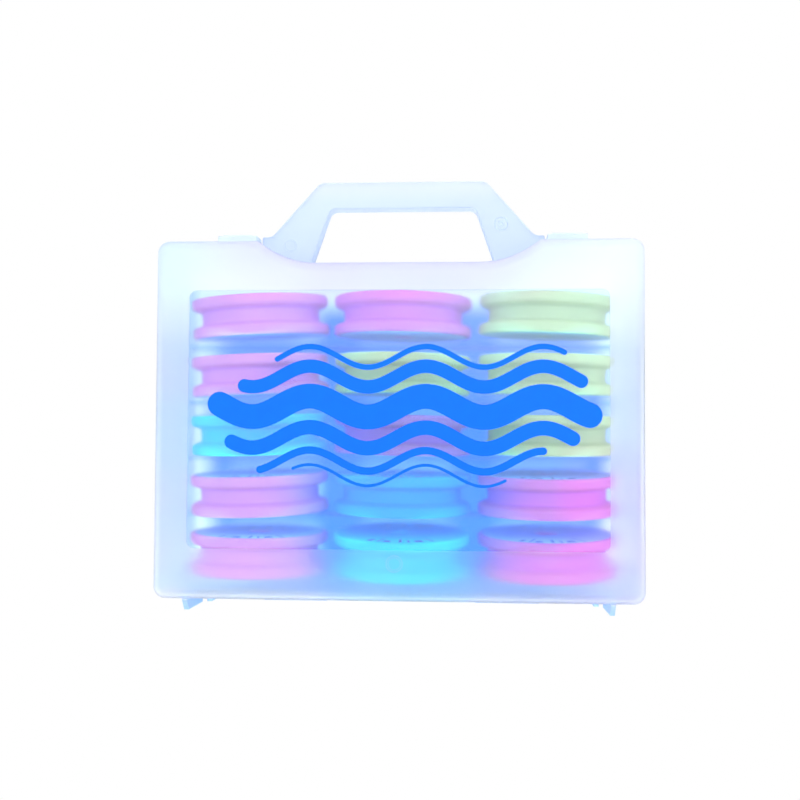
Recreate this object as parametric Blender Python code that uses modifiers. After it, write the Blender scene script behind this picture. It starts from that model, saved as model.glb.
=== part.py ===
"""Bobbin box: a clear plastic carrying case that holds foam line winders.

The case stands upright on four short feet, front towards -Y, handle up. The
parting plane between the two shells is y = 0, the case is symmetric about
x = 0, and z = 0 is the surface it stands on. Lengths are in millimetres and
are turned into metres by MM.
"""
import math

import bmesh
import bpy
from mathutils import Matrix, Vector

MM = 0.001

# Case ---------------------------------------------------------------------
FOOT = 6.0             # how far the feet hold the bottom wall off the table
WIDTH = 237.2          # outside, left to right
HEIGHT = 174.9         # bottom wall to top wall
HALF_DEPTH = 38.0      # parting plane to either outer face
WALL = 1.6
CORNER_R = 6.0         # corners of the front outline
EDGE_R = 5.2           # rounded edge between the big face and the walls
GAP = 0.3              # clearance between separate mouldings
DIP_Z = 164.0          # top wall between the handle's legs
DIP_IN = 40.0          # half width of the dip's flat floor
DIP_OUT = 69.0         # half width of the dip where it meets the top wall
WINDOW = (101.6, 24.8, 150.0)   # half width, bottom, top
WINDOW_DEEP = 0.4

# Handle -------------------------------------------------------------------
GRIP_Y0 = 0.3
GRIP_Y1 = 11.3
GRIP_TOP = 211.6
GRIP_UNDER = 197.8
SHOULDER_Z = 183.2

# Latches ------------------------------------------------------------------
LATCH_IN, LATCH_OUT = 74.0, 94.0
LATCH_PIVOT = (6.0, 178.6)      # y, z above the bottom wall
LATCH_PIN_R = 1.1
LATCH_FRONT = -11.6
LATCH_TOP = 182.0
CATCH_TOP = 176.6

# Lid hinge ----------------------------------------------------------------
HINGE_Z = -3.15        # axis below the bottom wall, on the parting plane
HINGE_PIN_R = 0.7
KNUCKLE_R = 1.6
LEAF = ((38.0, 46.0), (62.0, 70.0))     # lid knuckles, |x|
BARREL = (46.4, 61.6)                   # rear knuckle between them, |x|

# Winders ------------------------------------------------------------------
WINDER_R = 35.0
WINDER_T = 20.0
GROOVE_D = 5.0
HOLE_R = 6.0
COL_X = (-73.4, 0.4, 74.2)
ROW_TOP = 141.3        # centre of the top row above the bottom wall
ROW_PITCH = 30.2
# How each winder leans in its slot, in degrees: (nod, lean) per column.
SEAT = (
    ((4.0, -2.8), (1.5, 1.0), (2.5, 2.0)),
    ((2.7, -2.2), (1.1, 1.0), (2.2, 1.0)),
    ((2.6, -1.5), (1.8, 1.3), (1.8, 0.6)),
    ((2.6, -1.7), (1.9, 0.8), (2.9, 0.1)),
    ((1.8, 0.3), (4.3, 0.6), (3.3, 0.0)),
)
# Foam colours by row and column.
PINK, YELLOW, CYAN = "pink", "yellow", "cyan"
FOAM = (
    (PINK, PINK, YELLOW),
    (PINK, YELLOW, YELLOW),
    (CYAN, PINK, YELLOW),
    (PINK, CYAN, PINK),
    (PINK, CYAN, PINK),
)

# Dividers -----------------------------------------------------------------
DIVIDER_T = 1.2
DIVIDER_DROP = 13.0    # middle of the strip below the middle of its row
DIVIDER_Y0 = 20.0


# --------------------------------------------------------------------------
def clear_scene():
    for ob in list(bpy.data.objects):
        bpy.data.objects.remove(ob, do_unlink=True)


def collection(name):
    coll = bpy.data.collections.new(name)
    bpy.context.scene.collection.children.link(coll)
    return coll


def plastic(name, colour, rough, metallic=0.0, transmission=0.0):
    mat = bpy.data.materials.new(name)
    mat.use_nodes = True
    bsdf = mat.node_tree.nodes["Principled BSDF"]
    bsdf.inputs["Base Color"].default_value = (*colour, 1.0)
    bsdf.inputs["Roughness"].default_value = rough
    bsdf.inputs["Metallic"].default_value = metallic
    bsdf.inputs["Transmission Weight"].default_value = transmission
    return mat


def add_object(name, mesh, coll, mat=None, parent=None):
    ob = bpy.data.objects.new(name, mesh)
    coll.objects.link(ob)
    if mat is not None:
        mesh.materials.clear()
        mesh.materials.append(mat)
    if parent is not None:
        ob.parent = parent
    return ob


def cutter(ob):
    ob.hide_render = True
    ob.display_type = 'WIRE'
    return ob


def shade(mesh, degrees=35.0):
    mesh.shade_smooth()
    mesh.set_sharp_from_angle(angle=math.radians(degrees))


def prism_mesh(name, points, low, high, plane="XZ"):
    """A flat outline given thickness: a filled 2D curve made into a mesh.

    points are (x, z) for plane XZ, thick along Y, (y, z) for plane YZ, thick
    along X, or (x, y) for plane XY, thick along Z; low and high are the two
    faces along that axis.
    """
    curve = bpy.data.curves.new(name, 'CURVE')
    curve.dimensions = '2D'
    curve.fill_mode = 'BOTH'
    curve.extrude = (high - low) / 2.0 * MM
    curve.render_resolution_u = 0
    spline = curve.splines.new('POLY')
    spline.points.add(len(points) - 1)
    for point, (u, v) in zip(spline.points, points):
        point.co = (u * MM, v * MM, 0.0, 1.0)
    spline.use_cyclic_u = True
    guide = bpy.data.objects.new(name + "_guide", curve)
    bpy.context.scene.collection.objects.link(guide)
    middle = (low + high) / 2.0 * MM
    if plane == "XZ":
        # local x, y, z -> world x, z, -y
        guide.matrix_world = Matrix(((1, 0, 0, 0), (0, 0, -1, middle), (0, 1, 0, 0), (0, 0, 0, 1)))
    elif plane == "XY":
        guide.matrix_world = Matrix.Translation((0.0, 0.0, middle))
    else:
        # local x, y, z -> world y, z, x
        guide.matrix_world = Matrix(((0, 0, 1, middle), (1, 0, 0, 0), (0, 1, 0, 0), (0, 0, 0, 1)))
    bpy.context.view_layer.update()
    deps = bpy.context.evaluated_depsgraph_get()
    mesh = bpy.data.meshes.new_from_object(guide.evaluated_get(deps))
    mesh.transform(guide.matrix_world)
    bpy.data.objects.remove(guide, do_unlink=True)
    mesh.name = name
    bm = bmesh.new()
    bm.from_mesh(mesh)
    bmesh.ops.remove_doubles(bm, verts=bm.verts, dist=1e-6)
    bmesh.ops.dissolve_limit(bm, angle_limit=math.radians(0.5), verts=bm.verts, edges=bm.edges,
                             delimit={'NORMAL'})
    bmesh.ops.recalc_face_normals(bm, faces=bm.faces)
    bm.to_mesh(mesh)
    bm.free()
    return mesh


def box_mesh(name, x0, x1, y0, y1, z0, z1):
    bm = bmesh.new()
    bmesh.ops.create_cube(bm, size=1.0)
    size = Vector((x1 - x0, y1 - y0, z1 - z0)) * MM
    mid = Vector((x0 + x1, y0 + y1, z0 + z1)) * MM / 2.0
    bmesh.ops.scale(bm, vec=size, verts=bm.verts)
    bmesh.ops.translate(bm, vec=mid, verts=bm.verts)
    mesh = bpy.data.meshes.new(name)
    bm.to_mesh(mesh)
    bm.free()
    return mesh


def rod_mesh(name, radius, x0, x1, y, z, sides=20):
    """A straight round rod along X."""
    bm = bmesh.new()
    bmesh.ops.create_cone(bm, cap_ends=True, segments=sides, radius1=radius * MM, radius2=radius * MM,
                          depth=(x1 - x0) * MM,
                          matrix=Matrix.Translation(Vector(((x0 + x1) / 2, y, z)) * MM)
                          @ Matrix.Rotation(math.pi / 2, 4, 'Y'))
    mesh = bpy.data.meshes.new(name)
    bm.to_mesh(mesh)
    bm.free()
    return mesh


def boolean(ob, other, operation):
    mod = ob.modifiers.new(operation.lower() + "_" + other.name, 'BOOLEAN')
    mod.object = other
    mod.operation = operation
    mod.solver = 'EXACT'
    return mod


# --------------------------------------------------------------------------
def case_outline():
    """Front outline of the case, anticlockwise seen from the front."""
    half = WIDTH / 2
    pts = []

    def corner(cx, cz, start):
        for i in range(5):
            a = math.radians(start + 90.0 * i / 4)
            pts.append((cx + CORNER_R * math.cos(a), cz + CORNER_R * math.sin(a)))

    corner(-half + CORNER_R, CORNER_R, 180)
    corner(half - CORNER_R, CORNER_R, 270)
    corner(half - CORNER_R, HEIGHT - CORNER_R, 0)
    pts.extend(dip_side(1))
    pts.extend(reversed(dip_side(-1)))
    corner(-half + CORNER_R, HEIGHT - CORNER_R, 90)
    return pts


def dip_side(sign, lift=0.0, steps=6):
    """The curved flank of the dip, from its outer end to its floor."""
    out = []
    for i in range(steps + 1):
        t = 1.0 - i / steps
        out.append((sign * (DIP_IN + (DIP_OUT - DIP_IN) * t),
                    DIP_Z + lift + (HEIGHT - DIP_Z) * t * t))
    return out


def tray_mesh(name, front):
    """An open tray of zero thickness: big face, rounded edge and four walls."""
    if front:
        low, high = -HALF_DEPTH, -GAP / 2
    else:
        low, high = GAP / 2, HALF_DEPTH
    mesh = prism_mesh(name, case_outline(), low, high)
    bm = bmesh.new()
    bm.from_mesh(mesh)
    face_y = (low if front else high) * MM
    open_y = (high if front else low) * MM
    rim = [f for f in bm.faces if all(abs(v.co.y - open_y) < 1e-6 for v in f.verts)]
    bmesh.ops.delete(bm, geom=rim, context='FACES_ONLY')
    edges = [e for e in bm.edges
             if all(abs(v.co.y - face_y) < 1e-6 for v in e.verts) and len(e.link_faces) == 2
             and any(abs(f.normal.y) < 0.5 for f in e.link_faces)]
    bmesh.ops.bevel(bm, geom=edges, offset=EDGE_R * MM, segments=3, profile=0.5, affect='EDGES',
                    offset_type='OFFSET')
    bmesh.ops.recalc_face_normals(bm, faces=bm.faces)
    big = max(bm.faces, key=lambda f: f.calc_area())
    if (big.normal.y > 0) == front:
        bmesh.ops.reverse_faces(bm, faces=bm.faces)
    bm.to_mesh(mesh)
    bm.free()
    return mesh


def foot_points(front):
    """A foot seen from the side: a thin fin whose outer end slopes in."""
    s = -1 if front else 1
    return [(s * 34.5, 1.0), (s * 28.6, -FOOT), (s * 0.8, -FOOT), (s * 0.8, 0.9)]


def web_points(front):
    """The rib that ties a hinge knuckle to its shell's bottom wall."""
    s = -1 if front else 1
    return [(s * 0.5, HINGE_Z - 1.2), (s * 1.5, HINGE_Z - 0.2), (s * 5.0, 0.6), (s * 0.5, 0.6)]


def shift_up(mesh):
    mesh.transform(Matrix.Translation((0.0, 0.0, FOOT * MM)))
    return mesh


def build_shell(name, front, parts, cutters, mat):
    tray = shift_up(tray_mesh(name, front))
    shell = add_object(name, tray, parts, mat)
    solid = shell.modifiers.new("wall", 'SOLIDIFY')
    solid.thickness = WALL * MM
    solid.offset = -1.0
    solid.use_even_offset = True
    solid.use_quality_normals = True
    tag = "lid" if front else "base"

    def join(mesh):
        boolean(shell, cutter(add_object(mesh.name, shift_up(mesh), cutters)), 'UNION')

    def cut(mesh):
        boolean(shell, cutter(add_object(mesh.name, shift_up(mesh), cutters)), 'DIFFERENCE')

    for side, sx in (("l", -1), ("r", 1)):
        def span(a, b):
            return (sx * a, sx * b) if sx > 0 else (sx * b, sx * a)

        foot_in, foot_out = (102.2, 104.6) if front else (97.8, 100.2)
        x0, x1 = span(foot_in, foot_out)
        join(prism_mesh(f"{tag}_foot_{side}", foot_points(front), x0, x1, plane="YZ"))
        knuckles = LEAF if front else (BARREL,)
        for k, (a, b) in enumerate(knuckles):
            x0, x1 = span(a, b)
            join(prism_mesh(f"{tag}_web_{side}{k}", web_points(front), x0, x1, plane="YZ"))
            join(rod_mesh(f"{tag}_knuckle_{side}{k}", KNUCKLE_R, x0 - 0.001, x1 + 0.001, 0.0, HINGE_Z))
        x0, x1 = span(36.0, 72.0)
        cut(rod_mesh(f"{tag}_hinge_bore_{side}", HINGE_PIN_R + 0.15, x0, x1, 0.0, HINGE_Z, sides=16))
        if front:
            x0, x1 = span(78.0, 90.0)
            join(box_mesh(f"{tag}_catch_{side}", x0, x1, -9.5, -6.6, HEIGHT - 0.8, CATCH_TOP))
        else:
            py, pz = LATCH_PIVOT
            for k, (a, b) in enumerate(((75.4, 77.6), (90.4, 92.6))):
                x0, x1 = span(a, b)
                join(box_mesh(f"{tag}_ear_{side}{k}", x0, x1, py - 2.6, py + 2.6, HEIGHT - 0.8, pz))
                join(rod_mesh(f"{tag}_ear_round_{side}{k}", 2.6, x0 + 0.001, x1 - 0.001, py, pz))
            x0, x1 = span(73.0, 95.0)
            cut(rod_mesh(f"{tag}_latch_bore_{side}", LATCH_PIN_R + 0.15, x0, x1, py, pz, sides=16))
    return shell


def window_points():
    half, low, high = WINDOW
    r = 4.0
    pts = []
    for cx, cz, start in ((-half + r, low + r, 180), (half - r, low + r, 270),
                          (half - r, high - r, 0), (-half + r, high - r, 90)):
        for i in range(4):
            a = math.radians(start + 90.0 * i / 3)
            pts.append((cx + r * math.cos(a), cz + r * math.sin(a)))
    return pts


def handle_points():
    """Trapezoid handle outline with a finger opening, as one closed loop pair."""
    outer = [(-73.2, HEIGHT + GAP + 0.1), (-73.2, SHOULDER_Z), (-68.2, SHOULDER_Z),
             (-44.2, GRIP_TOP - 1.6), (-41.4, GRIP_TOP)]
    right = [(-x, z) for x, z in reversed(outer)]
    # down the inner side of the right leg, under the grip and up to the left leg
    flank = [(x, z) for x, z in dip_side(1, GAP, 6) if x > 47.5]
    foot = [(69.2, HEIGHT + GAP + 0.1)] + flank
    inner_r = [(47.2, DIP_Z + GAP + 0.7), (46.8, 171.2), (38.6, GRIP_UNDER - 2.4),
               (36.0, GRIP_UNDER - 0.5), (33.4, GRIP_UNDER)]
    inner_l = [(-x, z) for x, z in reversed(inner_r)]
    foot_l = [(-x, z) for x, z in reversed(foot)]
    return outer + right + foot + inner_r + inner_l + foot_l


def winder_mesh():
    """Half section of a winder, at +X, running down its outer side."""
    h = WINDER_T / 2
    r = WINDER_R
    g = r - GROOVE_D
    profile = [
        (HOLE_R, h), (r - 2.2, h), (r - 0.5, h - 1.1), (r, h - 2.6), (r - 0.8, h - 4.5),
        (g + 0.4, 3.1), (g + 0.4, -3.1),
        (r - 0.8, -h + 4.5), (r, -h + 2.6), (r - 0.5, -h + 1.1), (r - 2.2, -h), (HOLE_R, -h),
    ]
    bm = bmesh.new()
    verts = [bm.verts.new((x * MM, 0.0, z * MM)) for x, z in profile]
    for a, b in zip(verts, verts[1:] + verts[:1]):
        bm.edges.new((a, b))
    mesh = bpy.data.meshes.new("winder_section")
    bm.to_mesh(mesh)
    bm.free()
    return mesh


# --------------------------------------------------------------------------
def build():
    clear_scene()
    parts = collection("bobbin_box")
    cutters = collection("cutters")

    frosted = {
        "front_shell": plastic("frosted_front", (0.80, 0.89, 1.0), 0.35, transmission=0.8),
        "rear_shell": plastic("frosted_rear", (0.76, 0.86, 1.0), 0.38, transmission=0.8),
        "carry_handle": plastic("frosted_handle", (0.84, 0.91, 1.0), 0.36, transmission=0.5),
    }

    base = bpy.data.objects.new("base_frame", None)
    parts.objects.link(base)
    lid_axis = bpy.data.objects.new("lid_axis", None)
    lid_axis.location = (0.0, 0.0, (FOOT + HINGE_Z) * MM)
    lid_axis.parent = base
    parts.objects.link(lid_axis)

    # Shells. The lid's mesh is moved so that its origin is on the hinge axis.
    rear = build_shell("rear_shell", False, parts, cutters, frosted["rear_shell"])
    rear.parent = base
    front = build_shell("front_shell", True, parts, cutters, frosted["front_shell"])
    recess = add_object("window_recess",
                        shift_up(prism_mesh("window_recess", window_points(),
                                            -HALF_DEPTH - 1.0, -HALF_DEPTH + WINDOW_DEEP)), cutters)
    boolean(front, cutter(recess), 'DIFFERENCE')
    front.data.transform(Matrix.Translation((0.0, 0.0, -(FOOT + HINGE_Z) * MM)))
    front.parent = lid_axis

    # Handle.
    grip = add_object("carry_handle",
                      shift_up(prism_mesh("carry_handle", handle_points(), GRIP_Y0, GRIP_Y1)),
                      parts, frosted["carry_handle"], base)
    soft = grip.modifiers.new("soft_edges", 'BEVEL')
    soft.width = 1.6 * MM
    soft.segments = 2
    soft.limit_method = 'ANGLE'
    soft.angle_limit = math.radians(60)

    # Latches and their pins.
    py, pz = LATCH_PIVOT
    for side, sx in (("left", -1), ("right", 1)):
        axis = bpy.data.objects.new(f"latch_{side}_axis", None)
        axis.location = (0.0, py * MM, (pz + FOOT) * MM)
        axis.parent = base
        parts.objects.link(axis)

        def span(a, b):
            return (sx * a, sx * b) if sx > 0 else (sx * b, sx * a)

        to_axis = Matrix.Translation((0.0, -py * MM, -pz * MM))
        x0, x1 = span(LATCH_IN, LATCH_OUT)
        plate = prism_mesh(f"latch_{side}", [
            (LATCH_FRONT, 177.0), (-8.2, 177.0), (-8.2, 177.9), (-9.7, 178.5), (-9.7, 179.6),
            (2.2, 179.6), (2.2, LATCH_TOP), (LATCH_FRONT + 0.9, LATCH_TOP), (LATCH_FRONT, LATCH_TOP - 0.9),
        ], x0, x1, plane="YZ")
        plate.transform(to_axis)
        latch = add_object(f"latch_{side}", plate, parts,
                           plastic(f"frosted_latch_{side}", (0.84, 0.91, 1.0), 0.34, transmission=0.5),
                           axis)
        a, b = span(78.0, 90.0)
        for mesh in (box_mesh(f"latch_{side}_arm", a, b, 1.0, py, 179.5, 181.2),
                     rod_mesh(f"latch_{side}_barrel", 2.6, a + 0.001, b - 0.001, py, pz)):
            mesh.transform(to_axis)
            piece = cutter(add_object(mesh.name, mesh, cutters))
            piece.parent = axis
            boolean(latch, piece, 'UNION')
        bore = rod_mesh(f"latch_{side}_bore", LATCH_PIN_R + 0.15, a - 1, b + 1, py, pz, sides=16)
        bore.transform(to_axis)
        piece = cutter(add_object(bore.name, bore, cutters))
        piece.parent = axis
        boolean(latch, piece, 'DIFFERENCE')

        a, b = span(75.2, 92.8)
        add_object(f"latch_pin_{side}",
                   shift_up(rod_mesh(f"latch_pin_{side}", LATCH_PIN_R, a, b, py, pz, sides=16)),
                   parts, plastic(f"pin_steel_latch_{side}", (0.62, 0.64, 0.67), 0.3, 1.0), base)
        a, b = span(37.6, 70.4)
        add_object(f"hinge_pin_{side}",
                   shift_up(rod_mesh(f"hinge_pin_{side}", HINGE_PIN_R, a, b, 0.0, HINGE_Z, sides=16)),
                   parts, plastic(f"pin_steel_hinge_{side}", (0.62, 0.64, 0.67), 0.3, 1.0), base)

    # Dividers: low strips across the rear shell, one under each row.
    inner = WIDTH / 2 - WALL - GAP
    for row in range(5):
        z = ROW_TOP - ROW_PITCH * row - DIVIDER_DROP
        back = HALF_DEPTH - WALL - GAP
        mesh = prism_mesh(f"divider_{row + 1}", [
            (-inner, DIVIDER_Y0), (inner, DIVIDER_Y0), (inner, back - 4.6), (inner - 4.6, back),
            (-inner + 4.6, back), (-inner, back - 4.6),
        ], z - DIVIDER_T / 2, z + DIVIDER_T / 2, plane="XY")
        add_object(f"divider_{row + 1}", shift_up(mesh), parts,
                   plastic(f"frosted_divider_{row + 1}", (0.78, 0.88, 1.0), 0.4, transmission=0.7), base)

    # Winders.
    rgb = {PINK: (0.95, 0.42, 0.72), YELLOW: (0.86, 0.90, 0.45), CYAN: (0.15, 0.66, 0.95)}
    for row in range(5):
        for col in range(3):
            nod, lean = SEAT[row][col]
            name = f"winder_r{row + 1}c{col + 1}"
            colour = FOAM[row][col]
            ob = add_object(name, winder_mesh(), parts,
                            plastic(f"foam_{colour}_{name[-4:]}", rgb[colour], 0.85), base)
            turn = ob.modifiers.new("turned", 'SCREW')
            turn.axis = 'Z'
            turn.steps = 22
            turn.render_steps = 22
            turn.use_merge_vertices = True
            turn.merge_threshold = 0.00005
            turn.use_normal_calculate = True
            ob.location = (COL_X[col] * MM, 0.0, (FOOT + ROW_TOP - ROW_PITCH * row) * MM)
            ob.rotation_mode = 'XYZ'
            ob.rotation_euler = (math.radians(nod), math.radians(lean), 0.0)

    for ob in parts.objects:
        if ob.type == 'MESH':
            shade(ob.data)


build()
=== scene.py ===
"""Looks of the bobbin box: frosted plastic case, foam winders, studio and camera."""
import math

import bmesh
import bpy
from mathutils import Matrix, Vector


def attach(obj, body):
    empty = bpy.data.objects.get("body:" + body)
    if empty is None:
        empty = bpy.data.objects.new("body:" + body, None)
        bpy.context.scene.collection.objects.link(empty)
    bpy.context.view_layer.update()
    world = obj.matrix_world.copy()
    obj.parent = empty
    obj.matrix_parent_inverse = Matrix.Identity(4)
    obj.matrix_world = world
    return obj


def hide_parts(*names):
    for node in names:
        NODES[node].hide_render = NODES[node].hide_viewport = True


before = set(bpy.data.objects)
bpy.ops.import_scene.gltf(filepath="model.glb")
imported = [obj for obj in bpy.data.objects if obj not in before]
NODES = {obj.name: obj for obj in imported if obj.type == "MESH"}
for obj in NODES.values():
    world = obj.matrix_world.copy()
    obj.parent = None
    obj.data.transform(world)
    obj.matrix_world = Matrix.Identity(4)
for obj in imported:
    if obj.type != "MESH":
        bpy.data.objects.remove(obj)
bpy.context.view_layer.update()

MM = 0.001
FOOT = 6.0
WIDTH, HEIGHT, HALF_DEPTH, WALL = 237.2, 174.9, 38.0, 1.6
CORNER_R, EDGE_R, GAP = 6.0, 5.2, 0.3
DIP_Z, DIP_IN, DIP_OUT = 164.0, 40.0, 69.0
WINDOW = (101.6, 24.8, 150.0)
WINDOW_DEEP = 0.2
HINGE_Z, KNUCKLE_R, PIN_BORE = -3.15, 1.6, 0.85
LEAF = ((38.0, 46.0), (62.0, 70.0))
BARREL = (46.4, 61.6)
PIVOT = (6.0, 178.6)
WINDER_R, WINDER_T, GROOVE_D, HOLE_R = 35.0, 20.0, 5.0, 6.0
COL_X = (-73.4, 0.4, 74.2)
ROW_TOP, ROW_PITCH = 141.3, 30.2
SEAT = (
    ((4.0, -2.8), (1.5, 1.0), (2.5, 2.0)),
    ((2.7, -2.2), (1.1, 1.0), (2.2, 1.0)),
    ((2.6, -1.5), (1.8, 1.3), (1.8, 0.6)),
    ((2.6, -1.7), (1.9, 0.8), (2.9, 0.1)),
    ((1.8, 0.3), (4.3, 0.6), (3.3, 0.0)),
)
# Foam of each winder: rose is a hotter pink and azure a deeper cyan.
FOAM = (
    ("pink", "rose", "yellow"),
    ("pink", "yellow", "yellow"),
    ("cyan", "rose", "yellow"),
    ("pink", "azure", "rose"),
    ("pink", "cyan", "rose"),
)
UP = Matrix.Translation((0.0, 0.0, FOOT * MM))


# ------------------------------------------------------------------ meshes
def link(name, mesh, mats=()):
    ob = bpy.data.objects.new(name, mesh)
    bpy.context.scene.collection.objects.link(ob)
    for m in mats:
        mesh.materials.append(m)
    return ob


def mesh_from(bm, name):
    mesh = bpy.data.meshes.new(name)
    bm.to_mesh(mesh)
    bm.free()
    return mesh


def smooth(mesh, degrees=32.0):
    mesh.shade_smooth()
    mesh.set_sharp_from_angle(angle=math.radians(degrees))


def prism(points, low, high, plane="XZ"):
    """Flat outline with thickness: points are in the plane's two axes."""
    bm = bmesh.new()
    verts = []
    for u, v in points:
        if plane == "XZ":
            co = (u * MM, low * MM, v * MM)
        else:
            co = (low * MM, u * MM, v * MM)
        verts.append(bm.verts.new(co))
    face = bm.faces.new(verts)
    out = bmesh.ops.extrude_face_region(bm, geom=[face])
    move = Vector((0, 1, 0) if plane == "XZ" else (1, 0, 0)) * (high - low) * MM
    bmesh.ops.translate(bm, vec=move, verts=[g for g in out["geom"] if isinstance(g, bmesh.types.BMVert)])
    bmesh.ops.recalc_face_normals(bm, faces=bm.faces)
    return bm


def box(x0, x1, y0, y1, z0, z1, bevel=0.0, segments=2):
    bm = bmesh.new()
    bmesh.ops.create_cube(bm, size=1.0)
    bmesh.ops.scale(bm, vec=Vector((x1 - x0, y1 - y0, z1 - z0)) * MM, verts=bm.verts)
    bmesh.ops.translate(bm, vec=Vector((x0 + x1, y0 + y1, z0 + z1)) * MM / 2, verts=bm.verts)
    if bevel:
        bmesh.ops.bevel(bm, geom=list(bm.edges), offset=bevel * MM, segments=segments, profile=0.5,
                        affect='EDGES')
    return bm


def rod(radius, x0, x1, y, z, sides=40, bevel=0.0):
    bm = bmesh.new()
    bmesh.ops.create_cone(bm, cap_ends=True, segments=sides, radius1=radius * MM, radius2=radius * MM,
                          depth=(x1 - x0) * MM,
                          matrix=Matrix.Translation(Vector(((x0 + x1) / 2, y, z)) * MM)
                          @ Matrix.Rotation(math.pi / 2, 4, 'Y'))
    if bevel:
        rim = [e for e in bm.edges if len(e.link_faces) == 2
               and any(len(f.verts) > 4 for f in e.link_faces)]
        bmesh.ops.bevel(bm, geom=rim, offset=bevel * MM, segments=2, profile=0.5, affect='EDGES')
    return bm


def apply_modifiers(ob):
    deps = bpy.context.evaluated_depsgraph_get()
    mesh = bpy.data.meshes.new_from_object(ob.evaluated_get(deps))
    old = ob.data
    ob.modifiers.clear()
    ob.data = mesh
    bpy.data.meshes.remove(old)


def combine(ob, bm, operation="UNION"):
    """Joins or cuts with a solid given as a bmesh, at once."""
    tool = link("tool", mesh_from(bm, "tool"))
    mod = ob.modifiers.new("b", 'BOOLEAN')
    mod.object, mod.operation, mod.solver = tool, operation, 'EXACT'
    bpy.context.view_layer.update()
    apply_modifiers(ob)
    mesh = tool.data
    bpy.data.objects.remove(tool)
    bpy.data.meshes.remove(mesh)


def dip_side(sign, lift=0.0, steps=14):
    out = []
    for i in range(steps + 1):
        t = 1.0 - i / steps
        out.append((sign * (DIP_IN + (DIP_OUT - DIP_IN) * t), DIP_Z + lift + (HEIGHT - DIP_Z) * t * t))
    return out


def case_outline(grow=0.0, arc=12):
    half = WIDTH / 2 + grow
    top = HEIGHT + grow
    r = CORNER_R + grow
    pts = []

    def corner(cx, cz, start):
        for i in range(arc + 1):
            a = math.radians(start + 90.0 * i / arc)
            pts.append((cx + r * math.cos(a), cz + r * math.sin(a)))

    corner(-half + r, -grow + r, 180)
    corner(half - r, -grow + r, 270)
    corner(half - r, top - r, 0)
    flank = dip_side(1, grow)
    pts.extend(flank)
    pts.extend(reversed([(-x, z) for x, z in flank]))
    corner(-half + r, top - r, 90)
    return pts


def rounded_rect(half, low, high, r, arc=8):
    pts = []
    for cx, cz, start in ((-half + r, low + r, 180), (half - r, low + r, 270),
                          (half - r, high - r, 0), (-half + r, high - r, 90)):
        for i in range(arc + 1):
            a = math.radians(start + 90.0 * i / arc)
            pts.append((cx + r * math.cos(a), cz + r * math.sin(a)))
    return pts


def tray(front):
    low, high = (-HALF_DEPTH, -GAP / 2) if front else (GAP / 2, HALF_DEPTH)
    bm = prism(case_outline(), low, high)
    face_y = (low if front else high) * MM
    open_y = (high if front else low) * MM
    rim = [f for f in bm.faces if all(abs(v.co.y - open_y) < 1e-7 for v in f.verts)]
    bmesh.ops.delete(bm, geom=rim, context='FACES_ONLY')
    edges = [e for e in bm.edges
             if all(abs(v.co.y - face_y) < 1e-7 for v in e.verts) and len(e.link_faces) == 2
             and any(abs(f.normal.y) < 0.5 for f in e.link_faces)]
    bmesh.ops.bevel(bm, geom=edges, offset=EDGE_R * MM, segments=7, profile=0.5, affect='EDGES')
    bmesh.ops.recalc_face_normals(bm, faces=bm.faces)
    big = max(bm.faces, key=lambda f: f.calc_area())
    if (big.normal.y > 0) == front:
        bmesh.ops.reverse_faces(bm, faces=bm.faces)
    return bm


def foot_points(front):
    s = -1 if front else 1
    return [(s * 34.5, 1.0), (s * 28.6, -FOOT), (s * 0.8, -FOOT), (s * 0.8, 0.9)]


def web_points(front):
    s = -1 if front else 1
    return [(s * 0.5, HINGE_Z - 1.2), (s * 1.5, HINGE_Z - 0.2), (s * 5.0, 0.6), (s * 0.5, 0.6)]


def ring(cx, cz, y, r, tube, rise, steps=48):
    """A low raised circle on a face that looks towards -Y."""
    bm = bmesh.new()
    section = ((r - tube, 0.15), (r - tube * 0.4, -rise), (r + tube * 0.4, -rise), (r + tube, 0.15))
    rings = []
    for i in range(steps):
        a = 2 * math.pi * i / steps
        rings.append([bm.verts.new(((cx + q * math.cos(a)) * MM, (y + d) * MM, (cz + q * math.sin(a)) * MM))
                      for q, d in section])
    for i in range(steps):
        a, b = rings[i], rings[(i + 1) % steps]
        for k in range(4):
            bm.faces.new((a[k], a[(k + 1) % 4], b[(k + 1) % 4], b[k]))
    bmesh.ops.recalc_face_normals(bm, faces=bm.faces)
    return bm


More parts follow.
